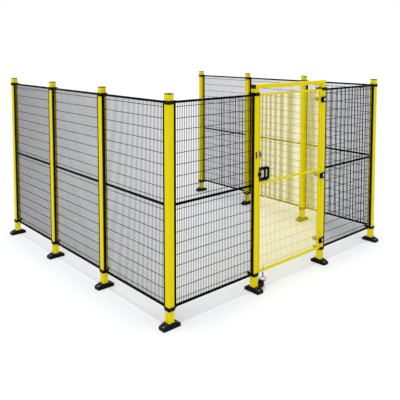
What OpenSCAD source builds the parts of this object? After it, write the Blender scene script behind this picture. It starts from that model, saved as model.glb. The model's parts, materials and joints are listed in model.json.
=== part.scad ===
// Machine guard fence: three walls of framed mesh panels on square posts, with one hinged door.
// Frame: +Z up, origin on the floor at the centre of the fence's footprint.
// The front wall, which holds the door, faces -Y; the fourth side is open.

/* [Layout] */
// Distance between the centres of two posts that carry a panel
bay_pitch = 1070; // [700:10:1500]
// Distance between the centres of the two door posts
door_pitch = 1090; // [850:10:1500]

/* [Posts] */
// Side of the square post tube
post_w = 60; // [40:1:80]
// Wall of the post tube
post_wall = 2; // [1.5:0.5:4]
// Outer corner radius of the post tube
post_r = 5; // [3:0.5:8]
// Height of the ordinary posts above the floor, without their caps
post_top = 2037; // [1600:1:2600]
// Thickness of the cap's visible plate
cap_plate = 8; // [3:0.5:12]
// Width of the bevel round the cap's top
cap_bevel = 2; // [0.5:0.5:2.5]
// Depth of the cap's plug inside the tube
cap_plug = 18; // [8:1:40]

/* [Feet] */
// Length of a cast foot along its sloping sides
foot_len = 184; // [140:2:260]
// Width of a cast foot
foot_w = 78; // [70:1:110]
// Height of the foot round the post
foot_h = 51; // [36:1:80]
// Height of the foot at its two ends
foot_end_h = 29; // [12:1:34]
// Thickness of metal under the post
foot_base = 10; // [6:1:16]
// Distance between the two anchor holes of a foot
anchor_pitch = 136; // [124:1:220]
// Diameter of an anchor hole
anchor_d = 12; // [8:1:16]
// Length of the pocket round an anchor hole
pocket_len = 34; // [24:1:40]
// Width of the pocket round an anchor hole
pocket_w = 26; // [24:1:34]
// Height of the pocket's floor above the foot's underside
pocket_floor = 17; // [10:1:20]
// Length of the shallow recess in the slope round an anchor hole
recess_len = 44; // [40:1:50]
// Width of the shallow recess in the slope
recess_w = 48; // [40:1:60]
// Depth of the shallow recess in the slope
recess_depth = 2.5; // [1:0.5:5]

/* [Panels] */
// Gap between a post and the panel's end tube
panel_gap = 5; // [3:0.5:12]
// Height of the panel's underside above the floor
panel_bottom = 180; // [100:1:300]
// Height of a panel
panel_h = 1800; // [1300:10:2200]
// Width of the frame tube seen from the front
tube_w = 20; // [15:1:30]
// Depth of the frame tube through the panel
tube_d = 15; // [10:1:25]
// Distance of the panel's outer face behind the post's outer face
panel_setback = 5; // [0:0.5:12]
// Spacing of the upright mesh wires
wire_pitch_x = 20; // [20:5:100]
// Spacing of the level mesh wires
wire_pitch_z = 100; // [50:10:200]
// Distance of the first level wire from a rail, at least
wire_edge = 30; // [10:5:60]
// Diameter of the mesh wires
wire_d = 5.5; // [3:0.25:6]

/* [Clamps] */
// Height of a panel clamp
clamp_h = 32; // [20:1:60]
// Distance that an upper clamp stands over the panel's top edge
clamp_over = 4; // [2:1:12]
// Distance that a lower clamp hangs under the panel's bottom edge
clamp_under = 21; // [4:1:24]
// Thickness of a clamp on a side of a door post that faces the leaf
clamp_thin = 2; // [1:0.5:3]
// Length of the clamp's tab over or under the panel's corner
clamp_tab = 22; // [10:1:40]
// Height of the underside of a door post's upper clamp over the leaf's top edge, negative below it
door_clamp_lift = -18; // [-28:1:0]
// Distance that the clamping ears stand behind the post
ear_out = 46; // [24:1:60]
// Height of the clamping ears
ear_h = 24; // [16:1:32]
// Thickness of each clamping ear
ear_t = 5; // [3:0.5:8]
// Gap between the two ears of a clamp
ear_gap = 7; // [2:0.5:10]

/* [Door] */
// Gap between the door leaf and each door post
leaf_gap = 8; // [8:1:20]
// Height of the leaf's underside above the floor
leaf_bottom = 180; // [120:1:260]
// Height of the door leaf
leaf_h = 1800; // [1300:10:2200]
// Side of the leaf's frame tube
leaf_tube = 20; // [18:1:30]
// Height of the header beam over the door
header_h = 40; // [30:1:60]
// Gap between the leaf's top edge and the header beam
header_gap = 52; // [20:1:200]

/* [Hinges] */
// Height of a hinge
hinge_h = 62; // [40:1:80]
// Height of the strap that holds a hinge to its post
strap_h = 40; // [20:1:60]
// Diameter of the hinge knuckle
knuckle_d = 16; // [14:1:22]
// Diameter of the hinge pin
pin_d = 8; // [6:0.5:10]
// Height of the lowest hinge's middle above the leaf's underside
hinge_low_z = 95; // [60:5:200]
// Depth of the highest hinge's middle under the leaf's top
hinge_high_z = 118; // [60:1:250]
// Distance of the hinge axis in front of the post's outer face
axis_out = 9; // [8:0.5:14]

/* [Castor] */
// Diameter of the castor wheel
wheel_d = 76; // [50:1:76]
// Width of the castor wheel's tread
wheel_w = 34; // [16:1:36]
// Distance of the wheel's axle behind the swivel axis
castor_trail = 28; // [12:1:30]
// Gap between upright wires that the stem stands in, counted from the leaf's free edge
castor_gap = 2; // [2:1:4]
// Diameter of the castor stem
stem_d = 14; // [10:1:14]
// Distance that the castor stem stands over the leaf's bottom rail
stem_over = 26; // [6:1:26]
// Height of the top of the castor fork above the floor
fork_top = 103; // [96:1:120]
// Thickness of the castor fork's sheet
fork_t = 3; // [2:0.5:5]
// Diameter of the plate on the stem that the fork turns under
crown_d = 76; // [50:1:80]
// Thickness of that plate
crown_t = 4; // [3:0.5:8]
// Diameter of the wheel's axle
axle_d = 8; // [6:0.5:10]

/* [Handle and lock] */
// Height of the handle's lower edge above the floor
handle_bottom = 1113; // [900:1:1150]
// Height of the handle
handle_h = 138; // [120:1:200]
// Height of the handle's lower block
handle_low_h = 33; // [15:1:40]
// Height of the handle's upper block
handle_high_h = 29; // [15:1:40]
// Width of the handle's bar on the leaf's stile
handle_bar = 12; // [6:1:16]
// Width of the window that the fingers go through
handle_window = 57; // [40:1:70]
// Width of the grip between the two windows
handle_grip = 18; // [10:1:24]
// Width of the window beyond the grip
handle_window_2 = 31; // [15:1:50]
// Width of the outer bar
handle_outer = 21; // [10:1:30]
// Distance that the handle stands out from the leaf
handle_out = 12; // [10:0.5:30]
// Radius of the handle's two outer corners
handle_r = 30; // [10:1:40]
// Distance that the handle overhangs the leaf's free edge
handle_over = 2; // [0:0.5:3]
// Diameter of the latch knob
knob_d = 46; // [30:1:56]
// Thickness of the latch knob
knob_t = 8; // [6:1:9]
// Distance of the knob's middle below the handle's middle
knob_drop = -2; // [-20:1:30]
// Height of the middle of the padlock staples above the floor
staple_z = 1380; // [1320:1:1500]
// Width of a staple's plate
staple_w = 20; // [16:1:20]
// Height of a staple's plate
staple_h = 66; // [50:1:90]
// Inner radius of a staple's ring
staple_r = 10; // [6:0.5:14]

/* [Hidden] */
$fn = 48;
fit = 0.05;                         // radial clearance of a pin that turns in its bore
half = post_w / 2;
wall_len = 2 * bay_pitch + door_pitch;
side_len = 3 * bay_pitch;
left_x = -wall_len / 2;
right_x = wall_len / 2;
// The front wall's feet reach forward by half their length, the end posts' feet back by half their width.
front_y = -(side_len + foot_w / 2 - foot_len / 2) / 2;
latch_x = left_x + bay_pitch;
hinge_x = right_x - bay_pitch;

// Each wall is drawn with its outer side facing -Y and turned into place.
FRONT = 0;
LEFT = -90;
RIGHT = 90;

panel_w = bay_pitch - post_w - 2 * panel_gap;
panel_y = -half + panel_setback + tube_d / 2;
mid_rail_z = (panel_h - tube_w) / 2 + 6;
clamp_low = [panel_bottom - clamp_under, panel_bottom + panel_h + clamp_over - clamp_h];
door_clamp_low = [clamp_low[0], panel_bottom + panel_h + door_clamp_lift];
header_bottom = leaf_bottom + leaf_h + header_gap;
handle_w = handle_bar + handle_window + handle_grip + handle_window_2 + handle_outer;
slope_turn = atan((foot_h - foot_end_h) / (foot_len / 2 - foot_w / 2));
slope_z = foot_h - (anchor_pitch / 2 - foot_w / 2) * tan(slope_turn);
cup_h = 14;                         // height of the bearing cup on the castor fork
rim_share = 0.72;                   // rim of the wheel as a share of its diameter
wire_layer = wire_d / 2 + 0.05;     // half the distance between the two layers of wires

leaf_w = door_pitch - post_w - 2 * leaf_gap;
leaf_x = (latch_x + hinge_x) / 2;
leaf_left = leaf_x - leaf_w / 2;
leaf_right = leaf_x + leaf_w / 2;
leaf_front = front_y - half + panel_setback;
leaf_y = leaf_front + leaf_tube / 2;
axis_x = leaf_right - 6;
axis_y = front_y - half - axis_out;
hinge_low = leaf_bottom + hinge_low_z;
hinge_high = leaf_bottom + leaf_h - hinge_high_z;
hinge_levels = [hinge_low, hinge_low + 0.465 * (hinge_high - hinge_low), hinge_high];

leaf_uprights = uprights(leaf_w - 2 * leaf_tube);
castor_x = leaf_x + (castor_gap - leaf_uprights / 2) * wire_pitch_x;
axle_z = wheel_d / 2;
stem_top = leaf_bottom + leaf_tube + stem_over;

POST_NAMES = ["post_left_end", "post_left_far", "post_left_near", "post_left_corner", "post_latch",
              "post_hinge", "post_right_corner", "post_right_near", "post_right_far", "post_right_end"];
FOOT_NAMES = ["foot_left_end", "foot_left_far", "foot_left_near", "foot_left_corner", "foot_latch",
              "foot_hinge", "foot_right_corner", "foot_right_near", "foot_right_far", "foot_right_end"];
PANEL_NAMES = ["panel_left_far", "panel_left_middle", "panel_left_near", "panel_front_left",
               "panel_front_right", "panel_right_near", "panel_right_middle", "panel_right_far"];

// Position of each post's centre, in the order of POST_NAMES.
posts = [
    [left_x, front_y + 3 * bay_pitch], [left_x, front_y + 2 * bay_pitch], [left_x, front_y + bay_pitch],
    [left_x, front_y], [latch_x, front_y], [hinge_x, front_y], [right_x, front_y],
    [right_x, front_y + bay_pitch], [right_x, front_y + 2 * bay_pitch], [right_x, front_y + 3 * bay_pitch]
];
// Posts under the header beam, and the feet whose long side runs along Y.
door_posts = [4, 5];
turned_feet = [4, 5, 6];
// Centre of each bay with a fixed panel and the side that it faces.
bays = [
    [left_x, front_y + 2.5 * bay_pitch, LEFT], [left_x, front_y + 1.5 * bay_pitch, LEFT],
    [left_x, front_y + 0.5 * bay_pitch, LEFT], [left_x + bay_pitch / 2, front_y, FRONT],
    [right_x - bay_pitch / 2, front_y, FRONT], [right_x, front_y + 0.5 * bay_pitch, RIGHT],
    [right_x, front_y + 1.5 * bay_pitch, RIGHT], [right_x, front_y + 2.5 * bay_pitch, RIGHT]
];

function uprights(inner) = floor(inner / wire_pitch_x + 0.01) - 1;
function is_in(value, list) = len([for (item = list) if (item == value) item]) > 0;

module at(place, turn = 0) {
    translate([place[0], place[1], 0]) rotate([0, 0, turn]) children();
}

module box_between(low, high) {
    translate(low) cube(high - low);
}

// A rectangle with round corners, centred.
module round_rect(w, h, r) {
    square([w - 2 * r, h], center = true);
    square([w, h - 2 * r], center = true);
    for (x = [-1, 1]) for (y = [-1, 1])
        translate([x * (w / 2 - r), y * (h / 2 - r)]) circle(r = r);
}

// Section of a rectangular tube.
module tube_section(w, h, wall, r) {
    difference() {
        round_rect(w, h, r);
        round_rect(w - 2 * wall, h - 2 * wall, r - wall);
    }
}

module post(i) {
    top = is_in(i, door_posts) ? header_bottom : post_top;
    color("gold") at(posts[i]) translate([0, 0, foot_base]) linear_extrude(top - foot_base)
        tube_section(post_w, post_w, post_wall, post_r);
}

// A plate with a bevel round its top, made where two bevelled bars cross.
module bevelled_plate(w, h, thick, bevel) {
    module bar(across, along) {
        rotate([90, 0, 0]) translate([0, 0, -along / 2]) linear_extrude(along) polygon([
            [-across / 2, 0], [across / 2, 0], [across / 2, thick - bevel],
            [across / 2 - bevel, thick], [bevel - across / 2, thick], [-across / 2, thick - bevel]
        ]);
    }
    intersection() {
        bar(w, h);
        rotate([0, 0, 90]) bar(h, w);
    }
}

module post_cap() {
    plug_w = post_w - 2 * post_wall;
    translate([0, 0, post_top]) bevelled_plate(post_w, post_w, cap_plate, cap_bevel);
    translate([0, 0, post_top - cap_plug]) linear_extrude(cap_plug) difference() {
        round_rect(plug_w, plug_w, post_r - post_wall);
        square(plug_w - 8, center = true);
    }
}

module post_caps() {
    color([0.12, 0.12, 0.12])
    for (i = [0:len(posts) - 1])
        if (!is_in(i, door_posts)) at(posts[i]) post_cap();
}

// A cast foot: a socket for the post with a slope to each end and an anchor hole in each slope.
module foot_body() {
    collar = foot_w / 2;
    rotate([90, 0, 0]) translate([0, 0, -foot_w / 2]) linear_extrude(foot_w) polygon([
        [-foot_len / 2, 0], [foot_len / 2, 0], [foot_len / 2, foot_end_h], [collar, foot_h],
        [-collar, foot_h], [-foot_len / 2, foot_end_h]
    ]);
}

module foot(i) {
    socket_r = post_r - 1;
    color([0.1, 0.1, 0.1]) at(posts[i], is_in(i, turned_feet) ? 90 : 0)
    difference() {
        foot_body();
        translate([0, 0, foot_base]) linear_extrude(foot_h) round_rect(post_w, post_w, socket_r);
        for (turn = [0, 180]) rotate([0, 0, turn]) translate([anchor_pitch / 2, 0, 0]) {
            translate([0, 0, -1]) cylinder(d = anchor_d, h = foot_h);
            translate([0, 0, pocket_floor]) linear_extrude(foot_h) round_rect(pocket_len, pocket_w, 10);
            translate([0, 0, slope_z]) rotate([0, slope_turn, 0])
                translate([-recess_len / 2, -recess_w / 2, -recess_depth]) cube([recess_len, recess_w, foot_h]);
        }
    }
}

// A frame of tubes with a middle rail, filled with upright and level wires.
// x runs along the wall, z up from the frame's underside, y through it; the frame is centred on x and y.
module mesh_frame(w, h, tube, depth) {
    inner = w - 2 * tube;
    rails = [0, mid_rail_z, h - tube];
    count = uprights(inner);
    for (side = [-1, 1])
        translate([side * (w - tube) / 2 - tube / 2, -depth / 2, 0]) cube([tube, depth, h]);
    for (z = rails)
        translate([-inner / 2, -depth / 2, z]) cube([inner, depth, tube]);
    for (i = [0:count - 1])
        translate([(i - (count - 1) / 2) * wire_pitch_x, -wire_layer, tube / 2])
            cylinder(d = wire_d, h = h - tube);
    for (k = [0, 1]) level_wires(w - tube, rails[k] + tube, rails[k + 1]);
}

// Level wires, evenly spaced between two rails.
module level_wires(length, low, high) {
    gaps = floor((high - low - 2 * wire_edge) / wire_pitch_z);
    for (i = [0:gaps])
        translate([-length / 2, wire_layer, (low + high) / 2 + (i - gaps / 2) * wire_pitch_z])
            rotate([0, 90, 0]) cylinder(d = wire_d, h = length);
}

module panel(i) {
    color([0.13, 0.13, 0.13]) at(bays[i], bays[i][2])
        translate([0, panel_y, panel_bottom]) mesh_frame(panel_w, panel_h, tube_w, tube_d);
}

// A collar round the post; thin names a side, -1 or 1 along x, that faces the door leaf.
module clamp_ring(thin, height, thick) {
    out = half + thick;
    left = thin < 0 ? half + clamp_thin : out;
    right = thin > 0 ? half + clamp_thin : out;
    linear_extrude(height) difference() {
        translate([(right - left) / 2, 0]) round_rect(left + right, 2 * out, 3);
        round_rect(post_w, post_w, post_r - 1);
    }
}

// The tab that holds a panel's corner: dir is the panel's side of the post, low is where the tab starts.
module clamp_tab(dir, low, high) {
    x0 = dir > 0 ? half + panel_gap : -half - panel_gap - clamp_tab;
    box_between([x0, panel_y - tube_d / 2, low], [x0 + clamp_tab, panel_y + tube_d / 2, high]);
}

// Two ears that stand out behind the post's left corner, with a hole for the bolt that draws them together.
module clamp_ears(height, reach, round_d) {
    r = round_d / 2;
    for (k = [0, 1])
        translate([-half + k * (ear_t + ear_gap), half, height / 2]) rotate([90, 0, 90])
            linear_extrude(ear_t) difference() {
                union() {
                    translate([0, -ear_h / 2]) square([reach - r, ear_h]);
                    translate([reach - r, 0]) circle(d = round_d);
                }
                translate([reach - r, 0]) circle(d = 8);
            }
}

// sides: the directions that panels leave the post in, as [turn, side] pairs.
module clamp_pair(i, sides, ears_turn, thin = 0) {
    lows = is_in(i, door_posts) ? door_clamp_low : clamp_low;
    at(posts[i]) for (k = [0, 1]) translate([0, 0, lows[k]]) {
        low = k == 0 ? clamp_under - 8 : panel_bottom + panel_h - lows[k];
        high = k == 0 ? clamp_under : max(clamp_h, low + clamp_over);
        clamp_ring(thin, clamp_h, panel_gap);
        for (s = sides) rotate([0, 0, s[0]]) clamp_tab(s[1], low, high);
        rotate([0, 0, ears_turn]) clamp_ears(clamp_h, ear_out, ear_h);
    }
}

module clamps_left() {
    color([0.08, 0.08, 0.09]) {
        clamp_pair(0, [[LEFT, 1]], LEFT);
        for (i = [1, 2]) clamp_pair(i, [[LEFT, 1], [LEFT, -1]], LEFT);
    }
}

module clamps_front() {
    color([0.08, 0.08, 0.09]) {
        clamp_pair(3, [[LEFT, -1], [FRONT, 1]], LEFT);
        clamp_pair(4, [[FRONT, -1]], FRONT, 1);
        clamp_pair(5, [[FRONT, 1]], FRONT, -1);
        clamp_pair(6, [[FRONT, -1], [RIGHT, 1]], FRONT);
    }
}

module clamps_right() {
    color([0.08, 0.08, 0.09]) {
        for (i = [7, 8]) clamp_pair(i, [[RIGHT, 1], [RIGHT, -1]], RIGHT);
        clamp_pair(9, [[RIGHT, -1]], RIGHT);
    }
}

module header_beam() {
    length = door_pitch + post_w - 2 * cap_plate;
    color("gold") translate([leaf_x - length / 2, front_y, header_bottom + header_h / 2])
        rotate([90, 0, 90]) linear_extrude(length) tube_section(post_w, header_h, post_wall, post_r - 1);
}

module header_end_caps() {
    plug_y = post_w - 2 * post_wall;
    plug_z = header_h - 2 * post_wall;
    reach = (door_pitch + post_w) / 2;
    color([0.12, 0.12, 0.12]) for (turn = [0, 180])
        translate([leaf_x, front_y, header_bottom + header_h / 2]) rotate([0, 0, turn])
            translate([reach - cap_plate, 0, 0]) rotate([0, 90, 0]) {
                bevelled_plate(header_h, post_w, cap_plate, cap_bevel);
                translate([0, 0, -cap_plug]) linear_extrude(cap_plug) difference() {
                    round_rect(plug_z, plug_y, post_r - 1 - post_wall);
                    square([plug_z - 8, plug_y - 8], center = true);
                }
            }
}

module door_leaf() {
    color("gold") difference() {
        translate([leaf_x, leaf_y, leaf_bottom]) mesh_frame(leaf_w, leaf_h, leaf_tube, leaf_tube);
        translate([castor_x, leaf_y, leaf_bottom - 1]) cylinder(d = stem_d, h = leaf_tube + 2);
    }
}

// Post side of a hinge: a block on the post's outer face, a strap round the post and one knuckle.
module hinge_post_half() {
    third = hinge_h / 3;
    knuckle_x = axis_x - hinge_x;
    block_x = -half + 3;
    difference() {
        union() {
            translate([0, 0, -strap_h / 2]) {
                clamp_ring(-1, strap_h, panel_gap - 1);
                clamp_ears(strap_h, ear_out + 4, strap_h + 6);
            }
            translate([0, -half, 0]) rotate([90, 0, 0]) linear_extrude(9)
                translate([(block_x + half) / 2, 0]) round_rect(half - block_x, hinge_h, 4);
            box_between([knuckle_x, -half - axis_out - 5, -third / 2], [block_x + 8, -half - axis_out + 3, third / 2]);
            translate([knuckle_x, -half - axis_out, -third / 2]) cylinder(d = knuckle_d, h = third);
        }
        translate([knuckle_x, -half - axis_out, -hinge_h]) cylinder(d = pin_d + 2 * fit, h = 2 * hinge_h);
    }
}

module hinges_post_side() {
    color([0.08, 0.08, 0.09]) for (z = hinge_levels) translate([hinge_x, front_y, z]) hinge_post_half();
}

// Leaf side of a hinge: a plate on the leaf's stile and two knuckles, one over and one under the post's.
module hinge_leaf_half() {
    third = hinge_h / 3;
    difference() {
        union() {
            for (side = [-1, 1]) translate([0, 0, side * (third + 0.5)]) {
                translate([axis_x, axis_y, -third / 2]) cylinder(d = knuckle_d, h = third);
                box_between([axis_x - knuckle_d / 2, axis_y, -third / 2], [axis_x, leaf_front, third / 2]);
            }
            box_between([leaf_right - leaf_tube, leaf_front - 5, -hinge_h / 2],
                [axis_x - 2, leaf_front, hinge_h / 2]);
        }
        translate([axis_x, axis_y, -hinge_h]) cylinder(d = pin_d, h = 2 * hinge_h);
    }
}

module hinges_leaf_side() {
    color([0.08, 0.08, 0.09]) for (z = hinge_levels) translate([0, 0, z]) hinge_leaf_half();
}

module hinge_pins() {
    color("silver") for (z = hinge_levels)
        translate([axis_x, axis_y, z - hinge_h / 2 - 4]) cylinder(d = pin_d, h = hinge_h + 8);
}

// Outline of the handle, from its edge on the stile; the two far corners are round.
module handle_outline() {
    straight = handle_w - handle_r;
    square([straight, handle_h]);
    translate([straight, handle_r]) square([handle_r, handle_h - 2 * handle_r]);
    for (y = [handle_r, handle_h - handle_r]) translate([straight, y]) circle(r = handle_r);
}

// A window in the handle, from x to x + w.
module handle_window(x, w) {
    h = handle_h - handle_low_h - handle_high_h;
    translate([x + w / 2, handle_low_h + h / 2]) round_rect(w, h, 5);
}

// A moulded pull handle with a grip between two windows, and a latch knob that laps over the post.
module door_handle() {
    knob_x = -4;
    knob_low = 10.5;
    color([0.06, 0.06, 0.06])
    translate([leaf_left - handle_over, leaf_front, handle_bottom]) rotate([90, 0, 0]) difference() {
        union() {
            linear_extrude(handle_out) handle_outline();
            translate([knob_x, handle_h / 2 - knob_drop, knob_low]) rotate_extrude() polygon([
                [0, 0], [knob_d / 2, 0], [knob_d / 2, knob_t - 2], [knob_d / 2 - 2, knob_t], [0, knob_t]
            ]);
        }
        translate([0, 0, -1]) linear_extrude(handle_out + 2) {
            handle_window(handle_bar, handle_window);
            handle_window(handle_bar + handle_window + handle_grip, handle_window_2);
        }
    }
}

// A zinc staple for a padlock: a plate with a ring standing out of it, facing -Y.
module staple() {
    plate_t = 3;
    ring_t = 6;
    rotate([90, 0, 0]) linear_extrude(plate_t) round_rect(staple_w, staple_h, 4);
    translate([-ring_t / 2, 1 - plate_t, 0]) rotate([90, 0, 90]) linear_extrude(ring_t) difference() {
        circle(r = staple_r + ring_t);
        circle(r = staple_r);
        translate([0, -2 * staple_r]) square([2 * staple_r, 4 * staple_r]);
    }
}

module staple_post() {
    color("silver") translate([latch_x - half / 3, front_y - half, staple_z]) staple();
}

module staple_leaf() {
    color("silver") translate([leaf_left + leaf_tube / 2, leaf_front, staple_z]) staple();
}

// The stem is fixed in the leaf's bottom rail; its lower end is the pin that the fork turns on.
module castor_stem() {
    gap = 0.3;
    head_h = 4;
    head_top = fork_top - cup_h - fork_t - gap;
    color("silver") translate([castor_x, leaf_y, 0]) {
        translate([0, 0, fork_top + gap]) cylinder(d = stem_d, h = stem_top - fork_top - gap);
        translate([0, 0, leaf_bottom - 8]) cylinder(d = 1.6 * stem_d, h = 8, $fn = 6);
        translate([0, 0, fork_top + gap]) cylinder(d = crown_d, h = crown_t);
        translate([0, 0, fork_top + gap + crown_t - 1]) cylinder(d1 = 2.4 * stem_d, d2 = 1.4 * stem_d, h = 6);
        translate([0, 0, head_top - head_h]) cylinder(d = pin_d, h = fork_top + 2 - head_top + head_h);
        translate([0, 0, head_top - head_h]) cylinder(d = 1.8 * pin_d, h = head_h);
    }
}

// A pressed fork: a top plate with a bearing cup, and two arms that hold the axle.
module castor_fork() {
    inner = wheel_w / 2 + 2;
    plate_z = fork_top - cup_h - fork_t;
    front = -24;
    back = castor_trail + 20;
    color([0.1, 0.1, 0.1]) translate([castor_x, leaf_y, 0]) {
        difference() {
            union() {
                translate([0, 0, plate_z]) cylinder(d = 42, h = cup_h + fork_t);
                box_between([-inner - fork_t, front, plate_z], [inner + fork_t, back, plate_z + fork_t]);
            }
            translate([0, 0, plate_z - 1]) cylinder(d = pin_d + 2 * fit, h = cup_h + fork_t + 2);
        }
        for (x = [-inner - fork_t, inner]) translate([x, 0, 0]) rotate([90, 0, 90])
            linear_extrude(fork_t) {
                polygon([
                    [-14, plate_z + fork_t], [-14, plate_z - 6], [castor_trail - 9, axle_z],
                    [castor_trail + 9, axle_z], [castor_trail + 10, plate_z - 6], [castor_trail + 10, plate_z + fork_t]
                ]);
                translate([castor_trail, axle_z]) circle(r = 9);
            }
        translate([-inner - fork_t - 3, castor_trail, axle_z]) rotate([0, 90, 0])
            cylinder(d = axle_d, h = 2 * (inner + fork_t + 3));
    }
}

// Wheel body: a hub and a web inside a rim.
module castor_wheel() {
    rim = rim_share * wheel_d / 2;
    color([0.45, 0.47, 0.43]) translate([castor_x, leaf_y + castor_trail, axle_z])
        rotate([0, 90, 0]) rotate_extrude() polygon([
            [axle_d / 2 + fit, -wheel_w / 2], [12, -wheel_w / 2], [12, -wheel_w / 2 + 5],
            [rim - 5, -wheel_w / 2 + 5], [rim - 4, -wheel_w / 2 + 2], [rim, -wheel_w / 2 + 2],
            [rim, wheel_w / 2 - 2], [rim - 4, wheel_w / 2 - 2], [rim - 5, wheel_w / 2 - 5],
            [12, wheel_w / 2 - 5], [12, wheel_w / 2], [axle_d / 2 + fit, wheel_w / 2]
        ]);
}

// A tyre with a slightly rounded tread.
module castor_tyre() {
    rim = rim_share * wheel_d / 2;
    r = wheel_d / 2;
    w = wheel_w / 2 - 1;
    color([0.4, 0.05, 0.06]) translate([castor_x, leaf_y + castor_trail, axle_z])
        rotate([0, 90, 0]) rotate_extrude() polygon([
            [rim, -w], [r - 5, -w], [r - 1.5, -w + 2], [r, -w + 7],
            [r, w - 7], [r - 1.5, w - 2], [r - 5, w], [rim, w]
        ]);
}

for (i = [0:len(posts) - 1])
    post(i);
for (i = [0:len(posts) - 1])
    foot(i);
for (i = [0:len(bays) - 1])
    panel(i);
post_caps();
clamps_left();
clamps_front();
clamps_right();
header_beam();
header_end_caps();
door_leaf();
hinges_post_side();
hinges_leaf_side();
hinge_pins();
door_handle();
staple_post();
staple_leaf();
castor_stem();
castor_fork();
castor_wheel();
castor_tyre();
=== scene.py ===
import bmesh
import bpy
import json
import math
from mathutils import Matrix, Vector


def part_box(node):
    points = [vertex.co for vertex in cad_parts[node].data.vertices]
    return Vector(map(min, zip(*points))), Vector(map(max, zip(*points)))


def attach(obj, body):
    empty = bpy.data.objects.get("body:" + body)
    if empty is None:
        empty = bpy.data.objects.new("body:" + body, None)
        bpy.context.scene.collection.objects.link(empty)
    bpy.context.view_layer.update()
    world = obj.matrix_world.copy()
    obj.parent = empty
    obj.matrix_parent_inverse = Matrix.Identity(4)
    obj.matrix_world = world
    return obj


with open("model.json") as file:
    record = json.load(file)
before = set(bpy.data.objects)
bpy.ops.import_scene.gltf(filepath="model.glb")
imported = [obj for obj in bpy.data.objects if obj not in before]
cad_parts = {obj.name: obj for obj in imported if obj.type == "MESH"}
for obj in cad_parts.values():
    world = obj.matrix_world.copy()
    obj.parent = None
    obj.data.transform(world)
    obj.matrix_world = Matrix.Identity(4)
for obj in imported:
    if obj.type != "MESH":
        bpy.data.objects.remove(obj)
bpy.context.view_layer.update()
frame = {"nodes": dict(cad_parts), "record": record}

# The looks of a machine guard fence with a swing door: materials for the CAD nodes, small
# fittings and welds beside them, and the camera, floor, world and lamps.
# The fittings are built in millimetres, and a profile is a list of (radius, height) pairs.

# ------------------------------------------------------------------ camera
# The vertical shift looks down without tilting the camera, and the pitch takes up the rest.
CAM_POS = (-4.414, -5.131, 2.418)
CAM_YAW = math.radians(48.44)
CAM_PITCH = math.radians(4.16)
CAM_SHIFT = -0.28
SENSOR_MM = 36
LENS_MM = 48.429
CLIP_NEAR, CLIP_FAR = 0.05, 200


def make_camera():
    """The camera at the photograph's place, with its lens shifted."""
    data = bpy.data.cameras.new("camera")
    camera = bpy.data.objects.new("camera", data)
    bpy.context.scene.collection.objects.link(camera)
    look = Vector((math.cos(CAM_YAW) * math.cos(CAM_PITCH), math.sin(CAM_YAW) * math.cos(CAM_PITCH),
                   -math.sin(CAM_PITCH)))
    camera.location = CAM_POS
    camera.rotation_euler = look.to_track_quat("-Z", "Y").to_euler()
    data.sensor_width = SENSOR_MM
    data.lens = LENS_MM
    data.shift_y = CAM_SHIFT
    data.clip_start = CLIP_NEAR
    data.clip_end = CLIP_FAR
    bpy.context.scene.camera = camera


# ------------------------------------------------------------------ node helpers
# Tones and roughness run from one end of their range to the other between these two noise values.
NOISE_LOW, NOISE_HIGH = 0.3, 0.7
BEVEL_SAMPLES = 4


def new_material(name):
    """An empty node material with a shader joined to its output."""
    mat = bpy.data.materials.new(name)
    mat.use_nodes = True
    tree = mat.node_tree
    tree.nodes.clear()
    output = tree.nodes.new("ShaderNodeOutputMaterial")
    shader = tree.nodes.new("ShaderNodeBsdfPrincipled")
    tree.links.new(shader.outputs[0], output.inputs["Surface"])
    return mat, tree, shader


def noise(tree, scale, detail, rough=0.55, stretch=None):
    """The value of a noise over the object; stretch scales its three directions apart."""
    place = tree.nodes.new("ShaderNodeTexCoord").outputs["Object"]
    if stretch:
        mapping = tree.nodes.new("ShaderNodeMapping")
        mapping.inputs["Scale"].default_value = stretch
        tree.links.new(place, mapping.inputs["Vector"])
        place = mapping.outputs[0]
    texture = tree.nodes.new("ShaderNodeTexNoise")
    texture.inputs["Scale"].default_value = scale
    texture.inputs["Detail"].default_value = detail
    texture.inputs["Roughness"].default_value = rough
    tree.links.new(place, texture.inputs["Vector"])
    return texture.outputs["Fac"]


def set_tone(tree, shader, source, dark, light, high=NOISE_HIGH):
    """The base colour drifts from dark to light with src."""
    ramp = tree.nodes.new("ShaderNodeValToRGB")
    for stop, (place, colour) in zip(ramp.color_ramp.elements, ((NOISE_LOW, dark), (high, light))):
        stop.position = place
        stop.color = (*colour, 1)
    tree.links.new(source, ramp.inputs[0])
    tree.links.new(ramp.outputs[0], shader.inputs["Base Color"])


def set_roughness(tree, shader, source, low, high):
    """The roughness drifts from low to high with src."""
    spread = tree.nodes.new("ShaderNodeMapRange")
    spread.inputs["From Min"].default_value = NOISE_LOW
    spread.inputs["From Max"].default_value = NOISE_HIGH
    spread.inputs["To Min"].default_value = low
    spread.inputs["To Max"].default_value = high
    tree.links.new(source, spread.inputs["Value"])
    tree.links.new(spread.outputs[0], shader.inputs["Roughness"])


def set_relief(tree, shader, source, strength, distance, edge):
    """Fine relief; edge is the radius in metres that the light sees on sharp edges."""
    relief = tree.nodes.new("ShaderNodeBump")
    relief.inputs["Strength"].default_value = strength
    relief.inputs["Distance"].default_value = distance
    tree.links.new(source, relief.inputs["Height"])
    if edge:
        bevel = tree.nodes.new("ShaderNodeBevel")
        bevel.samples = BEVEL_SAMPLES
        bevel.inputs["Radius"].default_value = edge
        tree.links.new(bevel.outputs[0], relief.inputs["Normal"])
    tree.links.new(relief.outputs[0], shader.inputs["Normal"])


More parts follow.
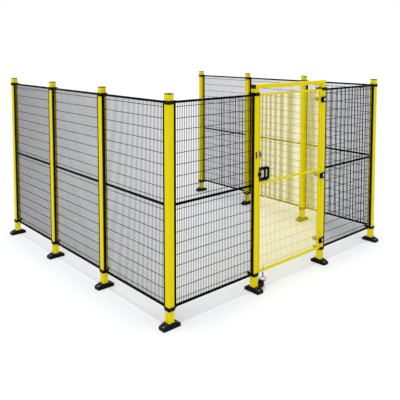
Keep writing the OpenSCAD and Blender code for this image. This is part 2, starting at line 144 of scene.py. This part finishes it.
# ------------------------------------------------------------------ materials
def painted(name, dark, light, rough=(0.3, 0.42), shine=0.08, peel=650.0, edge=0.0):
    """Powder coat: orange peel and a slow drift in tone."""
    mat, tree, shader = new_material(name)
    set_tone(tree, shader, noise(tree, scale=3.0, detail=3.0), dark, light)
    set_roughness(tree, shader, noise(tree, scale=14.0, detail=5.0), *rough)
    set_relief(tree, shader, noise(tree, scale=peel, detail=2.0), strength=0.1, distance=0.0005, edge=edge)
    shader.inputs["Specular IOR Level"].default_value = shine
    return mat


def moulded(name, dark, light, rough=(0.42, 0.58), grain=900.0, shine=0.15, edge=0.0015):
    """Moulded plastic or coated casting: fine pebble grain."""
    mat, tree, shader = new_material(name)
    set_tone(tree, shader, noise(tree, scale=22.0, detail=5.0), dark, light, high=0.75)
    set_roughness(tree, shader, noise(tree, scale=60.0, detail=3.0), *rough)
    set_relief(tree, shader, noise(tree, scale=grain, detail=3.0), strength=0.2, distance=0.0006, edge=edge)
    shader.inputs["Specular IOR Level"].default_value = shine
    return mat


def metal(name, dark, light, rough=(0.25, 0.42), stretch=None, edge=0.0008):
    """Plated steel: mottled tone, fine brushed grain."""
    mat, tree, shader = new_material(name)
    shader.inputs["Metallic"].default_value = 1.0
    set_tone(tree, shader, noise(tree, scale=70.0, detail=6.0, rough=0.65), dark, light)
    grain = noise(tree, scale=300.0, detail=4.0, rough=0.6, stretch=stretch)
    set_roughness(tree, shader, grain, *rough)
    set_relief(tree, shader, grain, strength=0.15, distance=0.0004, edge=edge)
    return mat


def grey(value):
    """A colour with the same value in its three channels."""
    return value, value, value


MAT = {
    "post_paint": painted("post_yellow", (0.810, 0.668, 0.0015), (0.830, 0.685, 0.0015), shine=0.04),
    "leaf_paint": painted("leaf_yellow", (0.805, 0.686, 0.002), (0.825, 0.703, 0.002), shine=0.04),
    "panel_paint": painted("panel_black", grey(0.0015), grey(0.003), rough=(0.42, 0.55), shine=0.02),
    "foot_black": moulded("foot_black", (0.003, 0.0035, 0.0045), (0.007, 0.0075, 0.009),
                          rough=(0.4, 0.55), grain=500.0, shine=0.05, edge=0.002),
    # The lighter grey with more shine on the strips along the feet's edges is painted highlight.
    "foot_rim_highlight": moulded("foot_rim_highlight", (0.10, 0.105, 0.115), (0.16, 0.165, 0.175),
                        rough=(0.4, 0.55), grain=500.0, shine=0.3, edge=0.0),
    "cap_black": moulded("cap_black", (0.010, 0.010, 0.006), (0.018, 0.018, 0.011)),
    "clamp_black": moulded("clamp_black", (0.002, 0.002, 0.003), (0.005, 0.005, 0.006), shine=0.04),
    "hinge_black": painted("hinge_black", grey(0.0015), grey(0.003),
                           rough=(0.35, 0.5), shine=0.04, peel=900.0, edge=0.0015),
    "pin_steel": metal("pin_steel", (0.55, 0.55, 0.54), (0.74, 0.74, 0.72)),
    "handle_black": moulded("handle_black", grey(0.0015), grey(0.004), rough=(0.38, 0.5), shine=0.04),
    "staple_steel": metal("staple_steel", (0.11, 0.105, 0.08), (0.22, 0.21, 0.17)),
    "castor_zinc": metal("castor_zinc", (0.66, 0.66, 0.64), (0.82, 0.82, 0.80)),
    "castor_black": painted("castor_black", grey(0.002), grey(0.004),
                            rough=(0.35, 0.5), peel=900.0, edge=0.001),
    "dark_steel": metal("dark_steel", (0.09, 0.095, 0.10), (0.16, 0.165, 0.17), stretch=(1, 1, 20)),
    "hub_grey": moulded("hub_grey", (0.14, 0.17, 0.15), (0.20, 0.23, 0.21)),
    "wheel_hub": moulded("wheel_hub", (0.006, 0.007, 0.006), (0.012, 0.013, 0.011), shine=0.08),
    "wheel_tyre": moulded("wheel_tyre", (0.10, 0.003, 0.006), (0.14, 0.006, 0.010),
                          rough=(0.35, 0.5), grain=300.0, shine=0.08),
}


def dress_nodes():
    """Every CAD node takes the material of its slot."""
    slots = {part["node"]: part["material_slot"] for part in frame["record"]["subparts"]}
    for node, obj in frame["nodes"].items():
        mat = MAT[slots[node]]
        for slot in obj.material_slots:
            slot.material = mat
        if not obj.material_slots:
            obj.data.materials.append(mat)


# ------------------------------------------------------------------ places, in millimetres, from the frame
MM_PER_M = 1000
UP = Vector((0, 0, 1))
ALONG_X = Vector((1, 0, 0))
ALONG_Y = Vector((0, 1, 0))
FRONTWARD = -ALONG_Y


def mm_box(node):
    """A node's lowest and highest corners."""
    return [corner * MM_PER_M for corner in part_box(node)]


def middle(node):
    """The middle of a node's box."""
    low, high = mm_box(node)
    return (low + high) / 2


def turned(x, y, turn):
    """(x, y) turned by a whole number of right angles."""
    for _ in range(turn % 4):
        x, y = -y, x
    return Vector((x, y, 0))


# Which way the outer side of each post's wall faces, in right angles from -Y.
POSTS = {"left_end": 3, "left_far": 3, "left_near": 3, "left_corner": 3, "latch": 0, "hinge": 0,
         "right_corner": 0, "right_near": 1, "right_far": 1, "right_end": 1}
POST_LOW, POST_HIGH = mm_box("post_left_corner")
POST_HALF = (POST_HIGH.x - POST_LOW.x) / 2
PANEL_LOW, PANEL_HIGH = mm_box("panel_front_left")
LEAF_LOW, LEAF_HIGH = mm_box("door_leaf")
TUBE_W = 20               # width of the frame tubes of the panels and of the leaf


# ------------------------------------------------------------------ shapes of the fittings
# A clamp or strap ends in two ears with a gap between them, which a bolt draws together.
EAR_T = 5
EAR_GAP = 7
EAR_BOLT_FLATS = 13
EAR_BOLT_HEAD = 5.3
EAR_NUT_HEAD = 6.5
EAR_BOLT_R = 4
HEX_CHAMFER_H, HEX_CHAMFER_W = 1.0, 1.1
THREAD_SHARE = 0.31       # a thread's radius as a share of the nut's width across flats
THREAD_CHAMFER = 0.8
NUGGET_R = 3.4
NUGGET_DEPTH = 2.4
BEAD_SIDES = 4            # flats that stand for a bead's half circle
CORNER_STEPS = 4          # flats that stand for a quarter circle at a slab's corner


class Build:
    """Collects turned and flat-sided pieces, in millimetres, into one mesh."""

    def __init__(self):
        self.verts = []
        self.faces = []

    def turn(self, profile, at, axis=UP, sides=16):
        """A turned piece: profile holds (radius, height) pairs, and heights run from at along axis."""
        rotation = axis.to_track_quat("Z", "Y").to_matrix()
        rings = []
        for radius, height in profile:
            start = len(self.verts)
            if radius == 0:
                rings.append([start])
                self.verts.append(at + rotation @ Vector((0, 0, height)))
            else:
                rings.append(list(range(start, start + sides)))
                for k in range(sides):
                    angle = 2 * math.pi * k / sides
                    place = Vector((radius * math.cos(angle), radius * math.sin(angle), height))
                    self.verts.append(at + rotation @ place)
        for low, high in zip(rings, rings[1:]):
            for k in range(sides):
                j = (k + 1) % sides
                if len(low) == 1:
                    self.faces.append((low[0], high[k], high[j]))
                elif len(high) == 1:
                    self.faces.append((low[k], high[0], low[j]))
                else:
                    self.faces.append((low[k], high[k], high[j], low[j]))

    def washer(self, at, axis, radius, thick, shoulder, lip, sides):
        """A flat washer: its rim is upright up to the shoulder, and slants in by lip from there."""
        rim = [(radius, 0), (radius, shoulder), (radius - lip, thick)]
        self.turn([(0, 0), *rim, (0, thick)], at, axis, sides)

    def hex_bolt(self, at, axis, flats, head, washer=0.0, thick=1.6, stub=0.0):
        """A washer, a hexagon head with its chamfer and, for a nut, the end of the thread."""
        base = 0.0
        if washer:
            self.washer(at, axis, washer / 2, thick, shoulder=thick * 0.7, lip=0.4, sides=28)
            base = thick
        radius = flats / 2 / math.cos(math.pi / 6)
        top = base + head
        rim = [(radius, base), (radius, top - HEX_CHAMFER_H), (radius - HEX_CHAMFER_W, top)]
        self.turn([(0, base), *rim, (0, top)], at, axis, sides=6)
        if stub:
            radius = flats * THREAD_SHARE
            root, end = top - 1, top + stub
            rim = [(radius, root), (radius, end - THREAD_CHAMFER), (radius - THREAD_CHAMFER, end)]
            self.turn([(0, root), *rim, (0, end)], at, axis)

    def ear_bolt(self, at, way, washer, stub):
        """A bolt through two ears: at is where its head sits, and way points from there to its nut."""
        self.hex_bolt(at, -way, EAR_BOLT_FLATS, EAR_BOLT_HEAD, washer)
        self.hex_bolt(at + way * (2 * EAR_T + EAR_GAP), way, EAR_BOLT_FLATS, EAR_NUT_HEAD, stub=stub)
        shank = [(0, 0), (EAR_BOLT_R, 0), (EAR_BOLT_R, EAR_GAP), (0, EAR_GAP)]
        self.turn(shank, at + way * EAR_T, way)

    def socket_screw(self, at, axis, width, head, socket):
        """A round head with a hollow in its top."""
        radius = width / 2
        floor = head - socket
        hollow = [(0, floor), (radius * 0.5, floor), (radius * 0.55, head)]
        rim = [(radius - 0.5, head), (radius, head - 0.5), (radius, 0)]
        self.turn([*hollow, *rim, (0, 0)], at, axis, sides=24)

    def dome(self, at, axis, width, height):
        """A round head, pressed with a shallow dome."""
        radius = width / 2
        rim = [(radius, 0), (radius, height * 0.3)]
        crown = [(radius * 0.85, height * 0.65), (radius * 0.5, height * 0.93)]
        self.turn([(0, 0), *rim, *crown, (0, height)], at, axis, sides=20)

    def strip(self, start, end, up, width, height, steps=1, ripple=0.0):
        """A half-round bead from start to end, standing out along up; ripple makes every other step swell."""
        across = (end - start).normalized().cross(up)
        rings = []
        for k in range(steps + 1):
            swell = 1.0 + (ripple if k % 2 else -ripple)
            centre = start.lerp(end, k / steps)
            ring = []
            for step in range(BEAD_SIDES + 1):
                angle = math.pi * step / BEAD_SIDES
                ring.append(len(self.verts))
                reach = across * (math.cos(angle) * width / 2) + up * (math.sin(angle) * height)
                self.verts.append(centre + reach * swell)
            rings.append(ring)
        for near, far in zip(rings, rings[1:]):
            for k in range(BEAD_SIDES):
                self.faces.append((near[k], far[k], far[k + 1], near[k + 1]))
            self.faces.append((near[-1], far[-1], far[0], near[0]))
        self.faces.append(tuple(rings[0]))
        self.faces.append(tuple(reversed(rings[-1])))

    def slab(self, at, along, out, width, height, thick, corner, bevel):
        """A plate on a face: its width runs along, its height across, and it stands out by thick."""
        across = out.cross(along)
        rings = []
        for inset, level in ((0, 0), (0, thick - bevel), (bevel, thick)):
            ring = []
            for quarter, (side, rise) in enumerate(((1, 1), (-1, 1), (-1, -1), (1, -1))):
                for step in range(CORNER_STEPS + 1):
                    angle = math.pi / 2 * (quarter + step / CORNER_STEPS)
                    x = side * (width / 2 - corner) + (corner - inset) * math.cos(angle)
                    y = rise * (height / 2 - corner) + (corner - inset) * math.sin(angle)
                    ring.append(len(self.verts))
                    self.verts.append(at + along * x + across * y + out * level)
            rings.append(ring)
        for low, high in zip(rings, rings[1:]):
            for k in range(len(low)):
                j = (k + 1) % len(low)
                self.faces.append((low[k], low[j], high[j], high[k]))
        self.faces.append(tuple(reversed(rings[0])))
        self.faces.append(tuple(rings[-1]))

    def nugget(self, at, along, through):
        """The flattened lump where two crossing wires are welded; through points across the wall."""
        start = len(self.verts)
        arm, rise, nose = along * NUGGET_R, UP * NUGGET_R, through * NUGGET_DEPTH
        for reach in (arm, rise, -arm, -rise, nose, -nose):
            self.verts.append(at + reach)
        front, back = start + 4, start + 5
        for k in range(4):
            j = (k + 1) % 4
            self.faces.append((start + k, front, start + j))
            self.faces.append((start + j, back, start + k))

    def done(self, name, mat, body, slot, smooth=35):
        """Makes the piece; edges that turn by more than smooth degrees stay sharp."""
        mesh = bpy.data.meshes.new(name)
        mesh.from_pydata([vert / MM_PER_M for vert in self.verts], [], self.faces)
        mesh.validate()
        bm = bmesh.new()
        bm.from_mesh(mesh)
        bmesh.ops.recalc_face_normals(bm, faces=bm.faces)
        bm.to_mesh(mesh)
        bm.free()
        mesh.shade_smooth()
        mesh.set_sharp_from_angle(angle=math.radians(smooth))
        piece = bpy.data.objects.new(name, mesh)
        bpy.context.scene.collection.objects.link(piece)
        mesh.materials.append(mat)
        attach(piece, body)


# ------------------------------------------------------------------ feet
ANCHOR_HALF = 68          # from a foot's middle to each of its two bolts
POCKET_FLOOR = 17
FOOT_END_H = 29           # height of a foot's ends, where its slopes run out
RECESS_HALF_LEN = 22
RECESS_HALF_W = 24
RECESS_DEPTH = 2.5
POCKET_HALF_LEN = 12
POCKET_HALF_W = 13.5
WASHER_T = 2.5
FOOT_LOW, FOOT_HIGH = mm_box("foot_left_corner")
FOOT_LEN, FOOT_W, FOOT_H = FOOT_HIGH - FOOT_LOW
FOOT_TILT = math.atan2(FOOT_H - FOOT_END_H, (FOOT_LEN - FOOT_W) / 2)
SLOPE_Z = FOOT_H - (ANCHOR_HALF - FOOT_W / 2) * math.tan(FOOT_TILT)


def anchor_spots(name):
    """The two bolt places of a foot, at floor level, each with the way out from the foot's middle."""
    low, high = mm_box("foot_" + name)
    spot = (low + high) / 2
    spot.z = low.z
    way = ALONG_X if high.x - low.x > high.y - low.y else ALONG_Y
    return [(spot + side * ANCHOR_HALF, side) for side in (-way, way)]


def foot_bolts():
    """A washer and a nut with the end of its bolt in each pocket."""
    washers, nuts = Build(), Build()
    for name in POSTS:
        for spot, _ in anchor_spots(name):
            seat = spot + UP * POCKET_FLOOR
            washers.washer(seat, UP, radius=12, thick=WASHER_T, shoulder=1.8, lip=0.6, sides=32)
            nuts.hex_bolt(seat + UP * WASHER_T, UP, flats=17, head=8, stub=5)
    washers.done("foot_washers", MAT["pin_steel"], "fence", "pin_steel")
    nuts.done("foot_nuts", MAT["pin_steel"], "fence", "pin_steel")


def foot_highlight_strips():
    """Lighter strips round the recess on each slope and along the pocket in it: painted highlights on the
    feet's edges.
    """
    rims = Build()
    for name in POSTS:
        for spot, side in anchor_spots(name):
            out = side * math.cos(FOOT_TILT) - UP * math.sin(FOOT_TILT)
            up = side * math.sin(FOOT_TILT) + UP * math.cos(FOOT_TILT)
            across = up.cross(out)
            centre = spot + UP * SLOPE_Z
            corners = [centre + out * (RECESS_HALF_LEN * i) + across * (RECESS_HALF_W * j)
                       for i, j in ((-1, -1), (1, -1), (1, 1), (-1, 1))]
            for start, end in zip(corners, corners[1:] + corners[:1]):
                rims.strip(start, end, up, width=2.4, height=0.5)
            for j in (-1, 1):
                edge = centre - up * RECESS_DEPTH + across * (POCKET_HALF_W * j)
                reach = out * POCKET_HALF_LEN
                rims.strip(edge - reach, edge + reach, up, width=2.0, height=0.5)
    # The strips' lighter grey is painted highlight, not wear.
    rims.done("foot_painted_highlights", MAT["foot_rim_highlight"], "fence", "foot_black")


# ------------------------------------------------------------------ clamps
CLAMP_T = 5
CLAMP_HALF = 16           # half a clamp's height
CLAMP_UNDER = 21          # how far the lower clamps reach under the panels
CLAMP_OVER = 4            # how far the upper clamps reach over the panels
DOOR_CLAMP_DROP = 18      # beside the door they start this far under the panels' tops
CLAMP_BOLT_OUT = 34       # from the post's face to the bolt through the ears
CLAMP_SCREW_OUT = 14      # from the middle of the post's face to each screw
LOWER_CLAMP_Z = PANEL_LOW.z - CLAMP_UNDER + CLAMP_HALF
UPPER_CLAMP_Z = PANEL_HIGH.z + CLAMP_OVER - CLAMP_HALF
DOOR_CLAMP_Z = PANEL_HIGH.z - DOOR_CLAMP_DROP + CLAMP_HALF


def clamp_bolts():
    """A bolt through each clamp's ears and two screws in its outer face; the left corner's have two faces."""
    bolts, screws = Build(), Build()
    for name, turn in POSTS.items():
        post = middle("post_" + name)
        faces = [turned(0, -1, turn)]
        if name == "left_corner":
            faces.append(FRONTWARD)
        upper = DOOR_CLAMP_Z if name in ("latch", "hinge") else UPPER_CLAMP_Z
        for z in (LOWER_CLAMP_Z, upper):
            post.z = z
            ears = post + turned(-POST_HALF, POST_HALF + CLAMP_BOLT_OUT, turn)
            bolts.ear_bolt(ears, turned(1, 0, turn), washer=16, stub=2.5)
            for face in faces:
                for side in (-CLAMP_SCREW_OUT, CLAMP_SCREW_OUT):
                    at = post + face * (POST_HALF + CLAMP_T) + face.cross(UP) * side
                    screws.socket_screw(at, face, width=7, head=1.6, socket=1.2)
    bolts.done("clamp_bolts", MAT["pin_steel"], "fence", "pin_steel")
    screws.done("clamp_screws", MAT["staple_steel"], "fence", "staple_steel")


# ------------------------------------------------------------------ hinges
HINGE_HALF = 31           # half a hinge's height
PIN_OVER = 4              # how far a pin stands out of its hinge at each end
MIDDLE_HINGE = 0.465      # where the middle hinge sits, from the lowest to the highest
HINGE_BLOCK_T = 9
HINGE_PLATE = {"width": 18, "height": 34, "thick": 2.5, "corner": 3, "bevel": 0.6}
HINGE_PLATE_X = -3        # from the middle of the post's face
HINGE_BOLT_UP = 9
STRAP_BOLT_OUT = 27       # from the post's face to the bolt through the strap's ears
LEAF_PLATE_T = 5
RIVET_IN = 14             # from the leaf's edge
RIVET_UP = 22


def hinge_fittings():
    """Light plates with bolts and the straps' bolts on the post; rivets and pin ends on the leaf."""
    low, high = mm_box("hinge_pins")
    pin = middle("hinge_pins")
    post = middle("post_hinge")
    first = low.z + PIN_OVER + HINGE_HALF
    last = high.z - PIN_OVER - HINGE_HALF
    plates, straps, rivets = Build(), Build(), Build()
    for z in (first, first + MIDDLE_HINGE * (last - first), last):
        pin.z = z
        seat = Vector((post.x + HINGE_PLATE_X, post.y - POST_HALF - HINGE_BLOCK_T, z))
        bolt = seat + FRONTWARD * HINGE_PLATE["thick"]
        rivet = Vector((LEAF_HIGH.x - RIVET_IN, LEAF_LOW.y - LEAF_PLATE_T, z))
        for way in (-UP, UP):
            plates.hex_bolt(bolt + way * HINGE_BOLT_UP, FRONTWARD, flats=10, head=4.0, washer=14, thick=1.2)
            rivets.dome(rivet + way * RIVET_UP, FRONTWARD, width=10, height=2.6)
            rivets.dome(pin + way * (HINGE_HALF + PIN_OVER), way, width=12, height=3)
        plates.slab(seat, ALONG_X, FRONTWARD, **HINGE_PLATE)
        ears = Vector((post.x - POST_HALF, post.y + POST_HALF + STRAP_BOLT_OUT, z))
        straps.ear_bolt(ears, ALONG_X, washer=18, stub=3)
    plates.done("hinge_bolts", MAT["pin_steel"], "fence", "pin_steel")
    straps.done("hinge_strap_bolts", MAT["pin_steel"], "fence", "pin_steel")
    rivets.done("hinge_rivets", MAT["pin_steel"], "door", "pin_steel")


# ------------------------------------------------------------------ staples
STAPLE_PLATE_T = 3
STAPLE_BOLT_UP = 25


def staple_bolts():
    """Two black domed heads on the plate of each staple."""
    for node, body in (("staple_post", "fence"), ("staple_leaf", "door")):
        at = middle(node)
        at.y = mm_box(node)[1].y - STAPLE_PLATE_T
        bolts = Build()
        for way in (-UP, UP):
            bolts.dome(at + way * STAPLE_BOLT_UP, FRONTWARD, width=11, height=4)
        bolts.done(node + "_bolts", MAT["handle_black"], body, "handle_black")


# ------------------------------------------------------------------ handle
HANDLE_T = 12
KNOB_R = 23
KNOB_LIFT = 2             # the knob is this far above the handle's middle
RIBS = 11
RIB_FIRST, RIB_STEP = 100, 16   # in degrees round the knob, from the leaf's side
RIB_RING_R = 22.6
RIB_BACK = 11.2           # from the leaf to the ribs' backs
RIB_PROFILE = [(0, 0), (1.2, 0), (1.2, 5.4), (0.7, 6.2), (0, 6.2)]
SCREW_X = 17              # from the knob's middle
SCREW_UP = 16             # from the handle's lower edge
SCREW_DOWN = 14           # from its upper edge


def handle_fittings():
    """Ribs on the free side of the latch knob, and the two screws that hold the handle to the leaf."""
    low, high = mm_box("door_handle")
    knob = Vector((low.x + KNOB_R, LEAF_LOW.y - RIB_BACK, (low.z + high.z) / 2 + KNOB_LIFT))
    ribs = Build()
    for k in range(RIBS):
        angle = math.radians(RIB_FIRST + RIB_STEP * k)
        at = knob + Vector((math.cos(angle), 0, math.sin(angle))) * RIB_RING_R
        ribs.turn(RIB_PROFILE, at, FRONTWARD, sides=8)
    ribs.done("knob_grip", MAT["handle_black"], "door", "handle_black")
    screws = Build()
    for z in (low.z + SCREW_UP, high.z - SCREW_DOWN):
        at = Vector((knob.x + SCREW_X, LEAF_LOW.y - HANDLE_T, z))
        screws.socket_screw(at, FRONTWARD, width=9, head=1.2, socket=1.0)
    screws.done("handle_screws", MAT["staple_steel"], "door", "staple_steel")


# ------------------------------------------------------------------ castor
STEM_COLLAR_H = 8         # the stem's collar under the leaf
SLEEVE_LOW_Z = 113
SLEEVE_R = 7.35
STEM_NUT_R, STEM_NUT_H = 11, 6
STEM_THREAD_R = 7.4
STEM_PROUD = 0.2          # keeps the nut and the thread just clear of the rail and of the stem's end
RACE_Z = 92
RACE_PROFILE = [(0, 0), (22.5, 0), (23.5, 1), (23.5, 3.5), (22.5, 4.5), (21, 4.5)]
DUST_RING_Z = 96.4
DUST_RING_PROFILE = [(0, 0), (22.2, 0), (22.2, 2.0), (20, 2.2), (0, 2.2)]
BALLS = 24
BALL_RING_R = 21.2
BALL_Z = 99.2
FORK_GAP = 2              # between the wheel and each arm of the fork
FORK_T = 3
HUB_BORE_R = 4.2
CAP_PROFILE = [(HUB_BORE_R, 0), (11.8, 0), (11.8, 0.9), (11.0, 1.5), (HUB_BORE_R, 1.5)]
CAP_SUNK = 0.2            # how far a bearing cap is let into the wheel's side
HUB_PINS = 6
HUB_PIN_RING_R = 17
HUB_PIN_PROFILE = [(0, 0), (1.6, 0), (1.6, 2.2), (0, 2.2)]
WHEEL_WEB_IN = 5          # from the wheel's side to its web


def castor_axis():
    """The place on the floor under the castor's stem."""
    stem = middle("castor_stem")
    stem.z = 0
    return stem


def stem_sleeve():
    """A sleeve round the stem under the leaf, and a nut with the stem's end on top of the bottom rail."""
    at = castor_axis()
    collar = LEAF_LOW.z - STEM_COLLAR_H
    rail = LEAF_LOW.z + TUBE_W
    top = mm_box("castor_stem")[1].z
    sleeve = Build()
    tube = [(0, SLEEVE_LOW_Z), (SLEEVE_R, SLEEVE_LOW_Z), (SLEEVE_R, collar), (0, collar)]
    sleeve.turn(tube, at, sides=40)
    foot = rail + STEM_PROUD
    shoulder = rail + STEM_NUT_H
    tip = top + STEM_PROUD
    nut = [(0, foot), (STEM_NUT_R, foot), (STEM_NUT_R, shoulder), (STEM_THREAD_R, shoulder + 0.5)]
    thread = [(STEM_THREAD_R, top - 1), (STEM_THREAD_R - 1, tip), (0, tip)]
    sleeve.turn(nut + thread, at, sides=6)
    sleeve.done("castor_stem_sleeve", MAT["dark_steel"], "door", "staple_steel")


def swivel_rings():
    """A raised race round the bearing cup with a ring of balls, and a dust ring over the race."""
    at = castor_axis()
    race, dust = Build(), Build()
    race.turn(RACE_PROFILE, at + UP * RACE_Z, sides=48)
    for k in range(BALLS):
        angle = 2 * math.pi * k / BALLS
        ball = at + Vector((BALL_RING_R * math.cos(angle), BALL_RING_R * math.sin(angle), BALL_Z))
        race.dome(ball, UP, width=3.6, height=2.2)
    dust.turn(DUST_RING_PROFILE, at + UP * DUST_RING_Z, sides=48)
    race.done("castor_race", MAT["castor_zinc"], "castor", "castor_zinc")
    dust.done("castor_dust_ring", MAT["handle_black"], "castor", "handle_black")


def wheel_fittings():
    """The axle's nuts outside the fork, and on each side of the wheel a bearing cap and a ring of pins."""
    low, high = mm_box("castor_wheel")
    wheel = (low + high) / 2
    half_w = (high.x - low.x) / 2
    nuts, hub = Build(), Build()
    for side in (-ALONG_X, ALONG_X):
        nuts.hex_bolt(wheel + side * (half_w + FORK_GAP + FORK_T), side, flats=13, head=2.9)
        hub.turn(CAP_PROFILE, wheel + side * (half_w - CAP_SUNK), side, sides=32)
        for k in range(HUB_PINS):
            angle = 2 * math.pi * k / HUB_PINS
            pin = wheel + side * (half_w - WHEEL_WEB_IN)
            pin += Vector((0, math.cos(angle), math.sin(angle))) * HUB_PIN_RING_R
            hub.turn(HUB_PIN_PROFILE, pin, side, sides=10)
    nuts.done("castor_axle_nuts", MAT["hub_grey"], "castor", "castor_zinc")
    hub.done("castor_hub_caps", MAT["hub_grey"], "wheel", "wheel_hub")


# ------------------------------------------------------------------ welds of the mesh panels and of the leaf
PANELS = ("left_far", "left_middle", "left_near", "front_left", "front_right", "right_near", "right_middle",
          "right_far")
WIRE_PITCH_X = 20
WIRE_PITCH_Z = 100
WIRE_EDGE = 30            # least distance of a level wire from a rail
MID_RAIL_LIFT = 6         # the middle rail is this far above the middle
BEAD_END = 0.5            # how far a bead stops short of the tube's edges
SLACK = 0.01              # lets a length that rounding leaves just short of a whole pitch count as whole


def crossings(inner, rails):
    """Where the wires cross: x from the middle of the frame, z from its underside."""
    uprights = math.floor(inner / WIRE_PITCH_X + SLACK) - 1
    places = []
    for lower, upper in zip(rails, rails[1:]):
        low = lower + TUBE_W
        gaps = math.floor((upper - low - 2 * WIRE_EDGE) / WIRE_PITCH_Z)
        for i in range(gaps + 1):
            z = (low + upper) / 2 + (i - gaps / 2) * WIRE_PITCH_Z
            for j in range(uprights):
                places.append(((j - (uprights - 1) / 2) * WIRE_PITCH_X, z))
    return places


def mesh_welds(node, mat, body, slot):
    """Weld nuggets at the crossings of the wires and beads at the joints of the frame tubes."""
    low, high = mm_box(node)
    size = high - low
    base = (low + high) / 2
    base.z = low.z
    along, through = (ALONG_X, ALONG_Y) if size.x > size.y else (ALONG_Y, ALONG_X)
    inner = size.dot(along) - 2 * TUBE_W
    depth = size.dot(through)
    rails = (0, (size.z - TUBE_W) / 2 + MID_RAIL_LIFT, size.z - TUBE_W)
    nuggets, beads = Build(), Build()
    for x, z in crossings(inner, rails):
        nuggets.nugget(base + along * x + UP * z, along, through)
    for side in (-along, along):
        for rail in rails:
            for face in (-through, through):
                corner = base + side * (inner / 2) + face * (depth / 2) + UP * rail
                start = corner + UP * BEAD_END
                end = corner + UP * (TUBE_W - BEAD_END)
                beads.strip(start, end, face, width=3.0, height=0.6, steps=12, ripple=0.12)
    nuggets.done("welds_" + node, mat, body, slot, smooth=80)
    beads.done("beads_" + node, mat, body, slot, smooth=60)


# ------------------------------------------------------------------ floor, world and lamps
FLOOR_HALF = 60.0
FLOOR_DROP = 0.0005       # keeps the floor just under the feet
FLOOR_COLOUR = (0.938, 0.953, 0.985, 1)
FLOOR_ROUGHNESS = 0.8
FLOOR_SHINE = 0.1
FLOOR_WHITE = 0.15        # share of plain white in what is seen of the floor
WORLD_LIGHT = 0.33
PLAIN_WHITE = 1.0


def seen_rays(tree):
    """1 for camera, glossy and transmission rays, which show the background, and 0 for the others."""
    rays = tree.nodes.new("ShaderNodeLightPath").outputs
    seen = rays["Is Camera Ray"]
    for kind in ("Is Glossy Ray", "Is Transmission Ray"):
        either = tree.nodes.new("ShaderNodeMath")
        either.operation = "MAXIMUM"
        tree.links.new(seen, either.inputs[0])
        tree.links.new(rays[kind], either.inputs[1])
        seen = either.outputs[0]
    return seen


def glow(tree, kind, strength):
    """White light of the given strength from an emission or background node."""
    light = tree.nodes.new(kind)
    light.inputs["Color"].default_value = (1, 1, 1, 1)
    light.inputs["Strength"].default_value = strength
    return light.outputs[0]


def mixed(tree, share, first, second):
    """A shader that goes from first to second as share goes from 0 to 1."""
    mix = tree.nodes.new("ShaderNodeMixShader")
    for source, socket in zip((share, first, second), mix.inputs):
        tree.links.new(source, socket)
    return mix.outputs[0]


def make_floor():
    """A pale floor that takes shadows, with a share of plain white for the rays that see it."""
    mesh = bpy.data.meshes.new("floor")
    corners = [(x * FLOOR_HALF, y * FLOOR_HALF, 0) for x, y in ((-1, -1), (1, -1), (1, 1), (-1, 1))]
    mesh.from_pydata(corners, [], [(0, 1, 2, 3)])
    floor = bpy.data.objects.new("floor", mesh)
    floor.location.z = -FLOOR_DROP
    bpy.context.scene.collection.objects.link(floor)
    mat, tree, shader = new_material("floor_white")
    shader.inputs["Base Color"].default_value = FLOOR_COLOUR
    shader.inputs["Roughness"].default_value = FLOOR_ROUGHNESS
    shader.inputs["Specular IOR Level"].default_value = FLOOR_SHINE
    share = tree.nodes.new("ShaderNodeMath")
    share.operation = "MULTIPLY"
    tree.links.new(seen_rays(tree), share.inputs[0])
    share.inputs[1].default_value = FLOOR_WHITE
    white = glow(tree, "ShaderNodeEmission", PLAIN_WHITE)
    output = next(node for node in tree.nodes if node.type == "OUTPUT_MATERIAL")
    tree.links.new(mixed(tree, share.outputs[0], shader.outputs[0], white), output.inputs["Surface"])
    mesh.materials.append(mat)


def make_world():
    """Plain white where the background is seen, and a dimmer white that lights the object."""
    world = bpy.data.worlds.new("world")
    bpy.context.scene.world = world
    world.use_nodes = True
    tree = world.node_tree
    tree.nodes.clear()
    output = tree.nodes.new("ShaderNodeOutputWorld")
    lit = glow(tree, "ShaderNodeBackground", WORLD_LIGHT)
    seen = glow(tree, "ShaderNodeBackground", PLAIN_WHITE)
    tree.links.new(mixed(tree, seen_rays(tree), lit, seen), output.inputs["Surface"])


def make_sun(name, direction, strength, angle):
    """A lamp that shines along direction; its angle, in degrees, softens the shadows."""
    data = bpy.data.lights.new(name, "SUN")
    data.energy = strength
    data.angle = math.radians(angle)
    lamp = bpy.data.objects.new(name, data)
    lamp.rotation_euler = Vector(direction).to_track_quat("-Z", "Y").to_euler()
    bpy.context.scene.collection.objects.link(lamp)


dress_nodes()
foot_bolts()
foot_highlight_strips()
clamp_bolts()
hinge_fittings()
staple_bolts()
handle_fittings()
stem_sleeve()
swivel_rings()
wheel_fittings()
for panel in PANELS:
    mesh_welds("panel_" + panel, MAT["panel_paint"], "fence", "panel_paint")
mesh_welds("door_leaf", MAT["leaf_paint"], "door", "leaf_paint")

bpy.context.scene.view_settings.view_transform = "Standard"
make_camera()
make_floor()
make_world()
make_sun("overhead", (0.05, 0.05, -1.0), strength=2.0, angle=28)
make_sun("side", (1.0, 0.72, -0.75), strength=1.0, angle=40)
